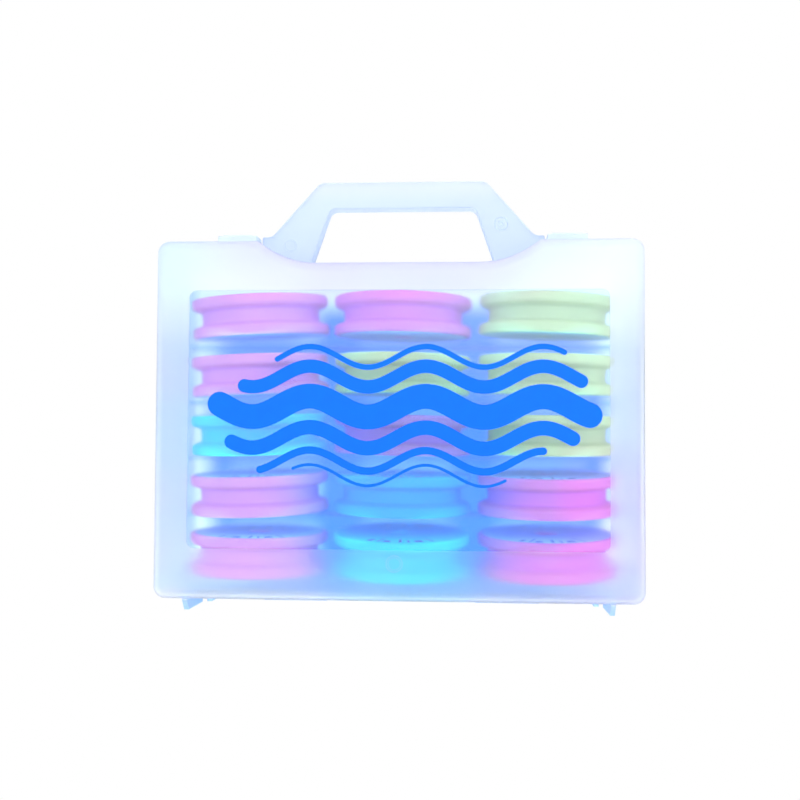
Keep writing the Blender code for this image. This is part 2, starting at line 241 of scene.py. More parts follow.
def shell(front, name, mats):
    ob = link(name, mesh_from(tray(front), name), mats)
    wall = ob.modifiers.new("wall", 'SOLIDIFY')
    wall.thickness, wall.offset = WALL * MM, -1.0
    wall.use_even_offset = wall.use_quality_normals = True
    bpy.context.view_layer.update()
    apply_modifiers(ob)
    # A bead round the open edge stiffens both shells and covers the parting line.
    y0, y1 = (-3.2, -GAP / 2) if front else (GAP / 2, 3.2)
    bead = prism(case_outline(1.1), y0, y1)
    bead_ob = link("bead", mesh_from(bead, "bead"))
    combine(bead_ob, prism(case_outline(-0.8), y0 - 1, y1 + 1), 'DIFFERENCE')
    combine(bead_ob, box(-WIDTH, WIDTH, -9, 9, -9, 0.8), 'DIFFERENCE')
    for sx in (-1, 1):
        combine(bead_ob, box(min(sx * 73.2, sx * 95.5), max(sx * 73.2, sx * 95.5), -9, 9,
                             HEIGHT - 0.02, HEIGHT + 9), 'DIFFERENCE')
    combine(bead_ob, box(-73.3, 73.3, GRIP[0] - 0.35, 12, DIP_Z - 0.5, HEIGHT + 9), 'DIFFERENCE')
    bm = bmesh.new()
    bm.from_mesh(bead_ob.data)
    combine(ob, bm, 'UNION')
    bpy.data.objects.remove(bead_ob)
    for sx in (-1, 1):
        def span(a, b):
            return (sx * a, sx * b) if sx > 0 else (sx * b, sx * a)

        foot_in, foot_out = (102.2, 104.6) if front else (97.8, 100.2)
        combine(ob, prism(foot_points(front), *span(foot_in, foot_out), plane="YZ"))
        for a, b in (LEAF if front else (BARREL,)):
            x0, x1 = span(a, b)
            combine(ob, prism(web_points(front), x0, x1, plane="YZ"))
            combine(ob, rod(KNUCKLE_R, x0 - 0.001, x1 + 0.001, 0.0, HINGE_Z))
        combine(ob, rod(PIN_BORE, *span(36.0, 72.0), 0.0, HINGE_Z, sides=32), 'DIFFERENCE')
        if front:
            combine(ob, box(*span(78.0, 90.0), -9.5, -6.6, HEIGHT - 0.8, 176.6))
        else:
            py, pz = PIVOT
            for a, b in ((75.4, 77.6), (90.4, 92.6)):
                x0, x1 = span(a, b)
                combine(ob, box(x0, x1, py - 2.6, py + 2.6, HEIGHT - 0.8, pz))
                combine(ob, rod(2.6, x0 + 0.001, x1 - 0.001, py, pz))
            combine(ob, rod(1.25, *span(73.0, 95.0), py, pz, sides=32), 'DIFFERENCE')
    if front:
        # the smooth window is let in a little
        cut = prism(rounded_rect(*WINDOW, 4.0), -HALF_DEPTH - 1.0, -HALF_DEPTH + WINDOW_DEEP)
        combine(ob, cut, 'DIFFERENCE')
    ob.data.transform(UP)
    smooth(ob.data)
    return ob


GRIP = (0.3, 11.3)
GRIP_TOP, GRIP_UNDER, SHOULDER_Z = 211.6, 197.8, 183.2


def fillet(points, radii, arc=6):
    """Rounds the corners of a closed outline, each by its own radius."""
    out = []
    n = len(points)
    for i, (p, r) in enumerate(zip(points, radii)):
        p, a, b = Vector(p), Vector(points[i - 1]), Vector(points[(i + 1) % n])
        if not r:
            out.append(tuple(p))
            continue
        u, v = (a - p).normalized(), (b - p).normalized()
        half = u.angle(v) / 2
        reach = min(r / math.tan(half), 0.48 * (a - p).length, 0.48 * (b - p).length)
        rr = reach * math.tan(half)
        centre = p + (u + v).normalized() * (rr / math.sin(half))
        s, e = p + u * reach - centre, p + v * reach - centre
        total = s.angle_signed(e)
        for k in range(arc + 1):
            t = -total * k / arc
            out.append((centre.x + s.x * math.cos(t) - s.y * math.sin(t),
                        centre.y + s.x * math.sin(t) + s.y * math.cos(t)))
    return out


def handle(mats):
    low = HEIGHT + GAP + 0.1
    outer = [(-73.2, low), (-73.2, SHOULDER_Z), (-68.2, SHOULDER_Z), (-43.0, GRIP_TOP)]
    radii = [0, 1.0, 5.0, 5.0]
    right = [(-x, z) for x, z in reversed(outer)]
    flank = [(x, z) for x, z in dip_side(1, GAP, 14) if x > 47.5]
    foot = [(69.2, low)] + flank
    inner_r = [(47.2, DIP_Z + GAP + 0.7), (46.8, 171.2), (37.7, GRIP_UNDER)]
    inner_l = [(-x, z) for x, z in reversed(inner_r)]
    foot_l = [(-x, z) for x, z in reversed(foot)]
    pts = outer + right + foot + inner_r + inner_l + foot_l
    rad = radii + radii[::-1] + [0] * len(foot) + [0, 6.0, 4.5] + [4.5, 6.0, 0] + [0] * len(foot)
    ob = link("handle_moulding", mesh_from(prism(fillet(pts, rad), *GRIP), "handle"), mats)
    edge = ob.modifiers.new("soft", 'BEVEL')
    edge.width, edge.segments = 2.4 * MM, 4
    edge.limit_method, edge.angle_limit = 'ANGLE', math.radians(60)
    edge.use_clamp_overlap = True
    bpy.context.view_layer.update()
    apply_modifiers(ob)
    ob.data.transform(UP)
    smooth(ob.data)
    return ob


def latch(side, sx, mats):
    py, pz = PIVOT

    def span(a, b):
        return (sx * a, sx * b) if sx > 0 else (sx * b, sx * a)

    x0, x1 = span(74.0, 94.0)
    pts = [(-11.6, 177.0), (-8.2, 177.0), (-8.2, 177.9), (-9.7, 178.5), (-9.7, 179.6), (2.2, 179.6),
           (2.2, 182.0), (-11.6, 182.0)]
    bm = prism(fillet(pts, [0.5, 0.4, 0.3, 0, 0.8, 0.4, 0.8, 1.8], 4), x0, x1, plane="YZ")
    ob = link(f"latch_{side}_flap", mesh_from(bm, "latch"), mats)
    edge = ob.modifiers.new("soft", 'BEVEL')
    edge.width, edge.segments = 0.4 * MM, 2
    edge.limit_method, edge.angle_limit = 'ANGLE', math.radians(60)
    bpy.context.view_layer.update()
    apply_modifiers(ob)
    a, b = span(78.0, 90.0)
    combine(ob, box(a, b, 1.0, py, 179.5, 181.2))
    combine(ob, rod(2.6, a + 0.001, b - 0.001, py, pz))
    combine(ob, rod(1.25, a - 1, b + 1, py, pz, sides=32), 'DIFFERENCE')
    # thumb ridges along the front edge
    for k in range(3):
        y = -9.6 + 2.2 * k
        combine(ob, rod(0.45, x0 + 2.5, x1 - 2.5, y, 181.95, sides=16, bevel=0.15))
    ob.data.transform(UP)
    smooth(ob.data)
    return ob


def seat(row, col):
    """Where a winder sits: its place in the case and its slight tilt."""
    nod, lean = (math.radians(v) for v in SEAT[row][col])
    return (Matrix.Translation(Vector((COL_X[col], 0.0, FOOT + ROW_TOP - ROW_PITCH * row)) * MM)
            @ Matrix.Rotation(lean, 4, 'Y') @ Matrix.Rotation(nod, 4, 'X'))


def winder(name, row, col, mats):
    h, r, g = WINDER_T / 2, WINDER_R, WINDER_R - GROOVE_D
    knots = [(HOLE_R + 0.6, h), (r - 2.8, h), (r, h), (r, h - 5.0), (g, 3.2),
             (g, -3.2), (r, -h + 5.0), (r, -h), (r - 2.8, -h), (HOLE_R + 0.6, -h),
             (HOLE_R, -h + 0.6), (HOLE_R, h - 0.6)]
    radii = [0.5, 0, 2.3, 2.2, 1.5, 1.5, 2.2, 2.3, 0, 0.5, 0.5, 0.5]
    section = fillet(knots, radii, 6)
    # an extra ring near the rim of each flat face, so that the rim reads as a soft moulded edge
    bm = bmesh.new()
    steps = 112
    loops = []
    for i in range(steps):
        a = 2 * math.pi * i / steps
        c, s = math.cos(a), math.sin(a)
        loops.append([bm.verts.new((q * c * MM, q * s * MM, z * MM)) for q, z in section])
    n = len(section)
    for i in range(steps):
        a, b = loops[i], loops[(i + 1) % steps]
        for k in range(n):
            bm.faces.new((a[k], b[k], b[(k + 1) % n], a[(k + 1) % n]))
    bmesh.ops.recalc_face_normals(bm, faces=bm.faces)
    mesh = mesh_from(bm, name)
    ob = link(name, mesh, mats)
    ob.matrix_world = seat(row, col)
    smooth(mesh, 40)
    return ob


def ticks(name, row, col, mats):
    """A broken printed ring near the rim of the upper flat face."""
    bm = bmesh.new()
    h = WINDER_T / 2
    dashes = ((-28, 5, 26.0), (-19, 2.2, 21.0), (-11, 7, 27.0), (2, 3, 22.5), (10, 2.2, 25.5),
              (20, 8, 26.5), (33, 2.2, 21.0))
    for turn in (-90, 90):
        for at, wide, r0 in dashes:
            low, top = [], []
            for r, side in ((r0, -1), (r0, 0), (r0, 1), (31.2, 1), (31.2, 0), (31.2, -1)):
                a = math.radians(turn + at + side * wide / 2)
                low.append(bm.verts.new((r * math.cos(a) * MM, r * math.sin(a) * MM, (h - 0.05) * MM)))
                top.append(bm.verts.new((r * math.cos(a) * MM, r * math.sin(a) * MM, (h + 0.05) * MM)))
            bm.faces.new(low)
            bm.faces.new(top)
            for i in range(6):
                j = (i + 1) % 6
                bm.faces.new((low[i], low[j], top[j], top[i]))
    bmesh.ops.recalc_face_normals(bm, faces=bm.faces)
    ob = link(name, mesh_from(bm, name), mats)
    ob.matrix_world = seat(row, col)
    return ob


# --------------------------------------------------------------- materials
def new_material(name):
    mat = bpy.data.materials.new(name)
    mat.use_nodes = True
    tree = mat.node_tree
    tree.nodes.clear()
    out = tree.nodes.new("ShaderNodeOutputMaterial")
    return mat, tree, out


def node(tree, kind, **props):
    n = tree.nodes.new(kind)
    for k, v in props.items():
        setattr(n, k, v)
    return n


def noise(tree, coord, scale, detail=4.0, rough=0.55):
    n = node(tree, "ShaderNodeTexNoise")
    n.inputs["Scale"].default_value = scale
    n.inputs["Detail"].default_value = detail
    n.inputs["Roughness"].default_value = rough
    tree.links.new(coord, n.inputs["Vector"])
    return n


def remap(tree, value, low, high, a, b, kind='LINEAR'):
    n = node(tree, "ShaderNodeMapRange", interpolation_type=kind)
    n.inputs["From Min"].default_value = low
    n.inputs["From Max"].default_value = high
    n.inputs["To Min"].default_value = a
    n.inputs["To Max"].default_value = b
    tree.links.new(value, n.inputs["Value"])
    return n.outputs["Result"]


def ramp(tree, value, stops):
    n = node(tree, "ShaderNodeValToRGB")
    while len(n.color_ramp.elements) < len(stops):
        n.color_ramp.elements.new(0.5)
    for e, (pos, col) in zip(n.color_ramp.elements, stops):
        e.position, e.color = pos, (*col, 1.0)
    tree.links.new(value, n.inputs["Fac"])
    return n.outputs["Color"]


def window_mask(tree, coord, soft=0.0005):
    """1 inside the smooth window, 0 outside it."""
    half, low, high = WINDOW
    r = 4.0
    flat = node(tree, "ShaderNodeVectorMath", operation='MULTIPLY')
    flat.inputs[1].default_value = (1, 0, 1)
    tree.links.new(coord, flat.inputs[0])
    mid = node(tree, "ShaderNodeVectorMath", operation='SUBTRACT')
    mid.inputs[1].default_value = (0, 0, ((low + high) / 2 + FOOT) * MM)
    tree.links.new(flat.outputs[0], mid.inputs[0])
    size = node(tree, "ShaderNodeVectorMath", operation='ABSOLUTE')
    tree.links.new(mid.outputs[0], size.inputs[0])
    past = node(tree, "ShaderNodeVectorMath", operation='SUBTRACT')
    past.inputs[1].default_value = ((half - r) * MM, 0, ((high - low) / 2 - r) * MM)
    tree.links.new(size.outputs[0], past.inputs[0])
    clip = node(tree, "ShaderNodeVectorMath", operation='MAXIMUM')
    clip.inputs[1].default_value = (0, 0, 0)
    tree.links.new(past.outputs[0], clip.inputs[0])
    length = node(tree, "ShaderNodeVectorMath", operation='LENGTH')
    tree.links.new(clip.outputs[0], length.inputs[0])
    return remap(tree, length.outputs["Value"], r * MM - soft, r * MM + soft, 1.0, 0.0, 'SMOOTHSTEP')


def glow_mask(tree, coord, mid, half, soft):
    """1 in a soft-edged rounded patch of the wall, seen along Y, 0 outside it."""
    flat = node(tree, "ShaderNodeVectorMath", operation='SUBTRACT')
    flat.inputs[1].default_value = (mid[0] * MM, 0, (mid[1] + FOOT) * MM)
    tree.links.new(coord, flat.inputs[0])
    size = node(tree, "ShaderNodeVectorMath", operation='MULTIPLY')
    size.inputs[1].default_value = (1 / (half[0] * MM), 0, 1 / (half[1] * MM))
    tree.links.new(flat.outputs[0], size.inputs[0])
    square = node(tree, "ShaderNodeVectorMath", operation='MULTIPLY')
    tree.links.new(size.outputs[0], square.inputs[0])
    tree.links.new(size.outputs[0], square.inputs[1])
    length = node(tree, "ShaderNodeVectorMath", operation='LENGTH')
    tree.links.new(square.outputs[0], length.inputs[0])
    return remap(tree, length.outputs["Value"], 1.0 - soft, 1.0 + soft, 1.0, 0.0, 'SMOOTHSTEP')


def winder_mask(tree, coord):
    """Two masks seen along Y: 1 in a column of winders, and 1 where a winder's rim lies against
    the wall, 0 in the gaps."""
    parts = node(tree, "ShaderNodeSeparateXYZ")
    tree.links.new(coord, parts.inputs[0])
    found = []
    for axis, first, step, near, far in (
            ("X", COL_X[0], COL_X[1] - COL_X[0], 17.0, 31.0),
            ("Z", FOOT + ROW_TOP - 4 * ROW_PITCH + 1.5, ROW_PITCH, 5.5, 11.0)):
        shift = node(tree, "ShaderNodeMath", operation='SUBTRACT')
        tree.links.new(parts.outputs[axis], shift.inputs[0])
        shift.inputs[1].default_value = (first - step / 2) * MM
        fold = node(tree, "ShaderNodeMath", operation='FLOORED_MODULO')
        tree.links.new(shift.outputs[0], fold.inputs[0])
        fold.inputs[1].default_value = step * MM
        centre = node(tree, "ShaderNodeMath", operation='SUBTRACT')
        tree.links.new(fold.outputs[0], centre.inputs[0])
        centre.inputs[1].default_value = step / 2 * MM
        size = node(tree, "ShaderNodeMath", operation='ABSOLUTE')
        tree.links.new(centre.outputs[0], size.inputs[0])
        found.append(remap(tree, size.outputs[0], near * MM, far * MM, 1.0, 0.0, 'SMOOTHSTEP'))
    both = node(tree, "ShaderNodeMath", operation='MULTIPLY')
    tree.links.new(found[0], both.inputs[0])
    tree.links.new(found[1], both.inputs[1])
    return found[0], both.outputs[0]


def frosted(name, tint, rough, clear, lamp=(0.93, 0.96, 1.0), window=None, shade_and_glow_patch=(),
            lit_top_clear=None, lit_edge_tint=None, glow_side_tint=None, feet=None, gloss=0.4, grain=0.00003,
            rims=None, wall=None):
    """Milky polypropylene. window gives (roughness, clearness, tint) inside the smooth panel,
    whose lower middle carries a painted cyan glow of the winders behind it. The patch list gives
    (middle, half size, softness, tint) of painted patches: the coloured glow of the winders
    behind a wall, and the deep blue of the shade between them.
    wall gives (clearness, tint) of the etched outer face of the wall behind the winders; its
    inner face is polished and alone carries the painted patches."""
    mat, tree, out = new_material(name)
    links = tree.links
    coord = node(tree, "ShaderNodeTexCoord").outputs["Object"]
    cloud = noise(tree, coord, 22.0, 3.0)
    fine = noise(tree, coord, 1500.0, 2.0)
    bsdf = node(tree, "ShaderNodeBsdfPrincipled")
    bsdf.inputs["IOR"].default_value = 1.49
    bsdf.inputs["Specular IOR Level"].default_value = gloss
    pale = tuple(min(1.0, c * 1.03) for c in tint)
    deep = tuple(c * 0.965 for c in tint)
    colour = ramp(tree, cloud.outputs["Fac"], ((0.3, deep), (0.7, pale)))
    parts = node(tree, "ShaderNodeSeparateXYZ")
    links.new(coord, parts.inputs[0])
    for extra, axis in ((lit_edge_tint, "Z"), (glow_side_tint, "X")):
        if extra:
            # (from, to, tint): painted light, the colour drifts to this tint along the axis: a paler lit band
            # along an edge, and a pinkish glow of the winders behind towards one side
            start, stop, other = extra
            tone = node(tree, "ShaderNodeMix", data_type='RGBA')
            links.new(remap(tree, parts.outputs[axis], start * MM, stop * MM, 0.0, 1.0, 'SMOOTHSTEP'),
                      tone.inputs["Factor"])
            links.new(colour, tone.inputs["A"])
            tone.inputs["B"].default_value = (*other, 1.0)
            colour = tone.outputs["Result"]
    r_out = remap(tree, cloud.outputs["Fac"], 0.3, 0.7, rough * 0.9, rough * 1.1)
    c_out = remap(tree, cloud.outputs["Fac"], 0.3, 0.7, clear * 0.97, clear * 1.03)
    if lit_top_clear:
        # painted light: the moulding is made milkier, and so paler, towards its top edge, as if lit from above
        fade = remap(tree, parts.outputs["Z"], 0.120, 0.165, 1.0, lit_top_clear / clear, 'SMOOTHSTEP')
        times = node(tree, "ShaderNodeMath", operation='MULTIPLY')
        links.new(c_out, times.inputs[0])
        links.new(fade, times.inputs[1])
        c_out = times.outputs[0]
    if feet:
        # the feet are solid ribs, denser than the walls
        dense = remap(tree, parts.outputs["Z"], 0.0048, 0.0062, 1.0, 0.0)
        tone = node(tree, "ShaderNodeMix", data_type='RGBA')
        links.new(dense, tone.inputs["Factor"])
        links.new(colour, tone.inputs["A"])
        tone.inputs["B"].default_value = (*feet, 1.0)
        colour = tone.outputs["Result"]
        less = node(tree, "ShaderNodeMix", data_type='FLOAT')
        links.new(dense, less.inputs["Factor"])
        links.new(c_out, less.inputs["A"])
        less.inputs["B"].default_value = 0.35
        c_out = less.outputs["Result"]
    if window:
        w_rough, w_clear, w_tint = window
        mask = window_mask(tree, coord)
        w_r = remap(tree, cloud.outputs["Fac"], 0.3, 0.7, w_rough * 0.85, w_rough * 1.15)
        for pick, inside in (("r", w_r), ("c", None)):
            mix = node(tree, "ShaderNodeMix", data_type='FLOAT')
            links.new(mask, mix.inputs["Factor"])
            if pick == "r":
                links.new(r_out, mix.inputs["A"])
                links.new(inside, mix.inputs["B"])
                r_out = mix.outputs["Result"]
            else:
                links.new(c_out, mix.inputs["A"])
                mix.inputs["B"].default_value = w_clear
                c_out = mix.outputs["Result"]
        # painted light: the lower middle of the window is tinted cyan with the glow of the winders behind it
        middle = node(tree, "ShaderNodeMix", data_type='RGBA')
        links.new(glow_mask(tree, coord, (4.0, 46.0), (48.0, 56.0), 0.7), middle.inputs["Factor"])
        middle.inputs["A"].default_value = (*w_tint, 1.0)
        middle.inputs["B"].default_value = (w_tint[0] * 0.66, w_tint[1] * 0.97, 1.0, 1.0)
        tone = node(tree, "ShaderNodeMix", data_type='RGBA')
        links.new(mask, tone.inputs["Factor"])
        links.new(colour, tone.inputs["A"])
        links.new(middle.outputs["Result"], tone.inputs["B"])
        colour = tone.outputs["Result"]
    plain = colour
    # painted light and shade: the patches tint the lid with the coloured glow of the winders behind it and the
    # back wall with the deep blue of the shade between them
    for mid, half, soft, p_tint in shade_and_glow_patch:
        tone = node(tree, "ShaderNodeMix", data_type='RGBA')
        links.new(glow_mask(tree, coord, mid, half, soft), tone.inputs["Factor"])
        links.new(colour, tone.inputs["A"])
        tone.inputs["B"].default_value = (*p_tint, 1.0)
        colour = tone.outputs["Result"]
    if rims:
        # paler behind the columns, most of all where a winder lies against the wall, so that the painted blue
        # shade stays in the gaps between the winders
        for mask, keep, pale in zip(winder_mask(tree, coord), (0.20, 1.0), rims):
            tone = node(tree, "ShaderNodeMix", data_type='RGBA')
            part = node(tree, "ShaderNodeMath", operation='MULTIPLY')
            links.new(mask, part.inputs[0])
            part.inputs[1].default_value = keep
            links.new(part.outputs[0], tone.inputs["Factor"])
            links.new(colour, tone.inputs["A"])
            tone.inputs["B"].default_value = (*pale, 1.0)
            colour = tone.outputs["Result"]
    if wall:
        facing = node(tree, "ShaderNodeSeparateXYZ")
        links.new(node(tree, "ShaderNodeTexCoord").outputs["Normal"], facing.inputs[0])
        inside = remap(tree, facing.outputs["Y"], -0.5, -0.8, 0.0, 1.0)
        outside = remap(tree, facing.outputs["Y"], 0.5, 0.8, 0.0, 1.0)
        for side, value in ((inside, 1.0), (outside, wall[0])):
            less = node(tree, "ShaderNodeMix", data_type='FLOAT')
            links.new(side, less.inputs["Factor"])
            links.new(c_out, less.inputs["A"])
            less.inputs["B"].default_value = value
            c_out = less.outputs["Result"]
        # painted shade: the blue patches stay on the inner face only
        shade_inside = node(tree, "ShaderNodeMix", data_type='RGBA')
        links.new(inside, shade_inside.inputs["Factor"])
        links.new(plain, shade_inside.inputs["A"])
        links.new(colour, shade_inside.inputs["B"])
        tone = node(tree, "ShaderNodeMix", data_type='RGBA')
        links.new(outside, tone.inputs["Factor"])
        links.new(shade_inside.outputs["Result"], tone.inputs["A"])
        tone.inputs["B"].default_value = (*wall[1], 1.0)
        colour = tone.outputs["Result"]
    links.new(colour, bsdf.inputs["Base Color"])
    links.new(r_out, bsdf.inputs["Roughness"])
    links.new(c_out, bsdf.inputs["Transmission Weight"])
    bump = node(tree, "ShaderNodeBump")
    bump.inputs["Strength"].default_value = 0.25
    bump.inputs["Distance"].default_value = grain
    links.new(fine.outputs["Fac"], bump.inputs["Height"])
    links.new(bump.outputs["Normal"], bsdf.inputs["Normal"])
    # light from the lamps reaches what is inside
    path = node(tree, "ShaderNodeLightPath")
    open_ = node(tree, "ShaderNodeBsdfTransparent")
    open_.inputs["Color"].default_value = (*lamp, 1.0)
    both = node(tree, "ShaderNodeMixShader")
    links.new(path.outputs["Is Shadow Ray"], both.inputs["Fac"])
    links.new(bsdf.outputs[0], both.inputs[1])
    links.new(open_.outputs[0], both.inputs[2])
    links.new(both.outputs[0], out.inputs["Surface"])
    return mat


def foam(name, lip, groove_shade, face):
    """Closed-cell foam: paler rims; painted shade makes the groove and the flat faces cooler and bluer; fine
    cells, dull surface.
    """
    mat, tree, out = new_material(name)
    links = tree.links
    coord = node(tree, "ShaderNodeTexCoord").outputs["Object"]
    parts = node(tree, "ShaderNodeSeparateXYZ")
    links.new(coord, parts.inputs[0])
    flat = node(tree, "ShaderNodeVectorMath", operation='MULTIPLY')
    flat.inputs[1].default_value = (1, 1, 0)
    links.new(coord, flat.inputs[0])
    radius = node(tree, "ShaderNodeVectorMath", operation='LENGTH')
    links.new(flat.outputs[0], radius.inputs[0])
    height = node(tree, "ShaderNodeMath", operation='ABSOLUTE')
    links.new(parts.outputs["Z"], height.inputs[0])
    drift = noise(tree, coord, 60.0, 3.0)
    cells = node(tree, "ShaderNodeTexVoronoi", feature='F1')
    cells.inputs["Scale"].default_value = 1900.0
    links.new(coord, cells.inputs["Vector"])
    specks = noise(tree, coord, 900.0, 3.0, 0.7)
    # painted shade: the groove gets a cooler shaded colour, the rim its lit colour
    outer = remap(tree, radius.outputs["Value"], 0.0300, 0.0348, 0.0, 1.0, 'SMOOTHSTEP')
    body = node(tree, "ShaderNodeMix", data_type='RGBA')
    links.new(outer, body.inputs["Factor"])
    body.inputs["A"].default_value = (*groove_shade, 1)
    body.inputs["B"].default_value = (*lip, 1)
    # painted shade: the flat faces get the blue of the shade between the rows
    end = remap(tree, height.outputs[0], 0.0090, 0.0099, 0.0, 1.0, 'SMOOTHSTEP')
    inner = remap(tree, radius.outputs["Value"], 0.0320, 0.0338, 1.0, 0.0, 'SMOOTHSTEP')
    both = node(tree, "ShaderNodeMath", operation='MULTIPLY')
    links.new(end, both.inputs[0])
    links.new(inner, both.inputs[1])
    face_shade_mix = node(tree, "ShaderNodeMix", data_type='RGBA')
    links.new(both.outputs[0], face_shade_mix.inputs["Factor"])
    links.new(body.outputs["Result"], face_shade_mix.inputs["A"])
    face_shade_mix.inputs["B"].default_value = (*face, 1)
    colour = face_shade_mix.outputs["Result"]
    for fac, low, high, k in ((drift.outputs["Fac"], 0.30, 0.70, 0.93), (specks.outputs["Fac"], 0.30, 0.52, 0.90)):
        shade = ramp(tree, fac, ((low, (k, k, k)), (high, (1, 1, 1))))
        times = node(tree, "ShaderNodeMix", data_type='RGBA', blend_type='MULTIPLY')
        times.inputs["Factor"].default_value = 1.0
        links.new(colour, times.inputs["A"])
        links.new(shade, times.inputs["B"])
        colour = times.outputs["Result"]
    bsdf = node(tree, "ShaderNodeBsdfPrincipled")
    links.new(colour, bsdf.inputs["Base Color"])
    links.new(remap(tree, drift.outputs["Fac"], 0.3, 0.7, 0.74, 0.86), bsdf.inputs["Roughness"])
    bsdf.inputs["Specular IOR Level"].default_value = 0.1
    bump = node(tree, "ShaderNodeBump")
    bump.inputs["Strength"].default_value = 0.35
    bump.inputs["Distance"].default_value = 0.00012
    links.new(cells.outputs["Distance"], bump.inputs["Height"])
    wide = node(tree, "ShaderNodeBump")
    wide.inputs["Strength"].default_value = 0.25
    wide.inputs["Distance"].default_value = 0.0003
    links.new(drift.outputs["Fac"], wide.inputs["Height"])
    links.new(bump.outputs["Normal"], wide.inputs["Normal"])
    links.new(wide.outputs["Normal"], bsdf.inputs["Normal"])
    links.new(bsdf.outputs[0], out.inputs["Surface"])
    return mat


def steel(name):
    mat, tree, out = new_material(name)
    links = tree.links
    coord = node(tree, "ShaderNodeTexCoord").outputs["Object"]
    stretch = node(tree, "ShaderNodeMapping")
    stretch.inputs["Scale"].default_value = (12.0, 1.0, 1.0)
    links.new(coord, stretch.inputs["Vector"])
    line = noise(tree, stretch.outputs[0], 260.0, 3.0)
    bsdf = node(tree, "ShaderNodeBsdfPrincipled")
    bsdf.inputs["Metallic"].default_value = 1.0
    links.new(ramp(tree, line.outputs["Fac"], ((0.3, (0.55, 0.57, 0.60)), (0.7, (0.70, 0.72, 0.75)))),
              bsdf.inputs["Base Color"])
    links.new(remap(tree, line.outputs["Fac"], 0.3, 0.7, 0.22, 0.38), bsdf.inputs["Roughness"])
    links.new(bsdf.outputs[0], out.inputs["Surface"])
    return mat


def ink(name, colour):
    mat, tree, out = new_material(name)
    links = tree.links
    coord = node(tree, "ShaderNodeTexCoord").outputs["Object"]
    wear = noise(tree, coord, 180.0, 4.0)
    bsdf = node(tree, "ShaderNodeBsdfPrincipled")
    links.new(ramp(tree, wear.outputs["Fac"], ((0.3, tuple(c * 0.93 for c in colour)), (0.7, colour))),
              bsdf.inputs["Base Color"])
    links.new(remap(tree, wear.outputs["Fac"], 0.3, 0.7, 0.32, 0.45), bsdf.inputs["Roughness"])
    bsdf.inputs["Specular IOR Level"].default_value = 0.08
    path = node(tree, "ShaderNodeLightPath")
    open_ = node(tree, "ShaderNodeBsdfTransparent")
    open_.inputs["Color"].default_value = (0.85, 0.92, 1.0, 1.0)
    both = node(tree, "ShaderNodeMixShader")
    links.new(path.outputs["Is Shadow Ray"], both.inputs["Fac"])
    links.new(bsdf.outputs[0], both.inputs[1])
    links.new(open_.outputs[0], both.inputs[2])
    links.new(both.outputs[0], out.inputs["Surface"])
    return mat


# ------------------------------------------------------------------- build
# painted light: the lid carries the coloured glow of the winders behind it, lilac along the top, cyan low in the
# middle and pink on the right, plus a paler lit bottom band, a pinkish drift to the right and a milkier, paler top
m_front = frosted("frosted_lid", (0.85, 0.93, 1.0), 0.36, 0.94, window=(0.16, 0.985, (0.78, 0.92, 1.0)),
                  lit_top_clear=0.70,
                  shade_and_glow_patch=(((-10.0, 163.0), (84.0, 18.0), 0.6, (0.86, 0.83, 1.0)),
                              ((2.0, 37.0), (40.0, 33.0), 0.7, (0.60, 0.93, 1.0)),
                              ((97.0, 40.0), (18.0, 34.0), 0.9, (0.91, 0.85, 1.0))),
                  feet=(0.46, 0.66, 0.92), gloss=0.12,
                  glow_side_tint=(20.0, 112.0, (0.91, 0.935, 1.0)), lit_edge_tint=(13.0, 9.0, (0.97, 1.0, 1.0)))
# painted shade: the back wall's inner face carries a deep blue patch behind the winders, the shade between them
m_rear = frosted("frosted_back", (0.80, 0.91, 1.0), 0.40, 0.80, lamp=(0.42, 0.78, 1.0),
                 shade_and_glow_patch=(((0.0, 74.0), (110.5, 78.0), 0.16, (0.001, 0.19, 1.0)),),
                 rims=((0.52, 0.82, 1.0), (0.76, 0.89, 1.0)),
                 wall=(0.66, (0.80, 0.91, 1.0)), feet=(0.46, 0.66, 0.92), gloss=0.12)
# painted light: the handle's top edge is paler, as if lit from above
m_grip = frosted("frosted_grip", (0.66, 0.73, 0.86), 0.45, 0.62,
                 lit_edge_tint=(206.0, 216.0, (0.72, 0.76, 0.92)), gloss=0.25)
m_flap = frosted("frosted_flap", (0.86, 0.92, 0.98), 0.42, 0.55, gloss=0.25)
# painted shade: the divider strips are a strong blue, so the gaps between the rows look filled with blue shade
m_rib_shade = frosted("strip_painted_shade", (0.06, 0.50, 1.0), 0.30, 0.95, lamp=(0.42, 0.78, 1.0), gloss=0.05)
m_mark = frosted("frosted_mark", (0.86, 0.93, 1.0), 0.30, 0.88)
# painted shade: each foam's second colour is its shaded groove and the third the blue of its flat faces in shade
m_foam = {
    "pink": foam("foam_pink", (0.91, 0.32, 0.74), (0.84, 0.31, 0.84), (0.52, 0.66, 1.0)),
    "rose": foam("foam_rose", (0.83, 0.21, 0.67), (0.77, 0.18, 0.78), (0.48, 0.58, 1.0)),
    "yellow": foam("foam_yellow", (0.66, 0.73, 0.37), (0.58, 0.66, 0.36), (0.36, 0.63, 0.68)),
    "cyan": foam("foam_cyan", (0.02, 0.72, 1.0), (0.0, 0.66, 1.0), (0.02, 0.66, 1.0)),
    "azure": foam("foam_azure", (0.0, 0.42, 1.0), (0.0, 0.37, 1.0), (0.01, 0.58, 1.0)),
}
m_pin = steel("pin_steel")
m_ink = ink("blue_ink", (0.003, 0.135, 0.95))
m_tick = ink("tick_ink", (0.02, 0.09, 0.36))

lid = shell(True, "lid_moulding", [m_front])
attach(lid, "lid")
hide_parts("front_shell")
base = shell(False, "base_moulding", [m_rear])
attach(base, "case")
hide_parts("rear_shell")
grip = handle([m_grip])
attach(grip, "case")
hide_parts("carry_handle")


